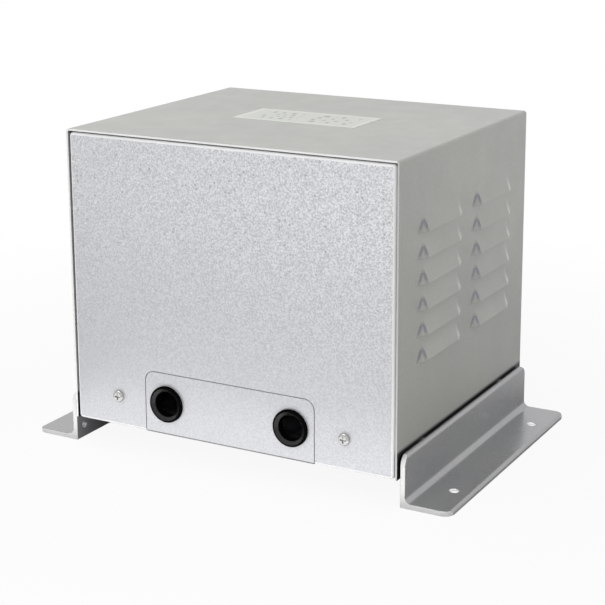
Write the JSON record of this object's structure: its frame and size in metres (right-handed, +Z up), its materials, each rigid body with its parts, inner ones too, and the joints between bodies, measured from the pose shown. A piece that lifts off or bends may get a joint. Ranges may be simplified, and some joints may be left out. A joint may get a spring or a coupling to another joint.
{
  "type": "autotransformer",
  "caption": "Case-type autotransformer: louvred sheet-metal box on steel angle feet, with grommeted cable entries low on the front, a clamped core and coil and a terminal block inside.",
  "frame": {"origin": "on the floor, at the centre of the four floor-bolt holes", "axes": "+X to the right across the front, +Y from the front to the back, +Z up"},
  "size_m": [0.368, 0.2458, 0.2562],
  "materials": {
    "case_finish": "satin silver-grey metallic paint",
    "front_finish": "finely mottled bright silver paint",
    "rear_finish": "satin silver-grey metallic paint",
    "tray_steel": "plain zinc-coated sheet",
    "foot_paint": "satin grey metallic paint",
    "grommet_rubber": "smooth black",
    "bright_zinc": "bright zinc plate",
    "label_film": "pale satin film",
    "core_steel": "varnished silicon steel",
    "clamp_paint": "black primer",
    "bobbin_plastic": "cream moulding",
    "winding_copper": "enamelled copper wire",
    "insulation_paper": "varnished insulating paper",
    "block_plastic": "black moulding",
    "terminal_brass": "plain brass",
    "lug_tin": "tinned copper",
    "line_lead_sleeve": "red insulation",
    "common_lead_sleeve": "white insulation",
    "earth_green": "green passivated zinc"
  },
  "bodies": {
    "root": {"wrapper_cover": "case_finish", "front_cover": "front_finish", "cable_entry_plate": "front_finish", "rear_cover": "rear_finish", "base_tray": "tray_steel", "front_hook_rail": "tray_steel", "rear_hook_rail": "tray_steel", "terminal_bracket": "tray_steel", "left_foot_angle": "foot_paint", "right_foot_angle": "foot_paint", "left_cable_grommet": "grommet_rubber", "right_cable_grommet": "grommet_rubber", "front_cover_screws": "bright_zinc", "rear_cover_screws": "bright_zinc", "cover_clinch_nuts": "bright_zinc", "foot_studs": "bright_zinc", "foot_spacers": "bright_zinc", "foot_nuts": "bright_zinc", "core_bolts": "bright_zinc", "core_bolt_washers": "bright_zinc", "core_bolt_nuts": "bright_zinc", "core_mount_bolts": "bright_zinc", "core_mount_nuts": "bright_zinc", "bracket_bolts": "bright_zinc", "bracket_nuts": "bright_zinc", "block_screws": "bright_zinc", "block_nuts": "bright_zinc", "terminal_screws": "bright_zinc", "earth_nut": "bright_zinc", "rating_label": "label_film", "laminated_core": "core_steel", "lower_front_clamp": "clamp_paint", "lower_rear_clamp": "clamp_paint", "upper_front_clamp": "clamp_paint", "upper_rear_clamp": "clamp_paint", "coil_bobbin": "bobbin_plastic", "common_winding": "winding_copper", "series_winding": "winding_copper", "interlayer_insulation": "insulation_paper", "coil_wrap": "insulation_paper", "terminal_block": "block_plastic", "terminal_plates": "terminal_brass", "terminal_lugs": "lug_tin", "line_in_lead": "line_lead_sleeve", "line_out_lead": "line_lead_sleeve", "common_in_lead": "common_lead_sleeve", "common_out_lead": "common_lead_sleeve", "earth_screw": "earth_green"}
  },
  "joints": []
}
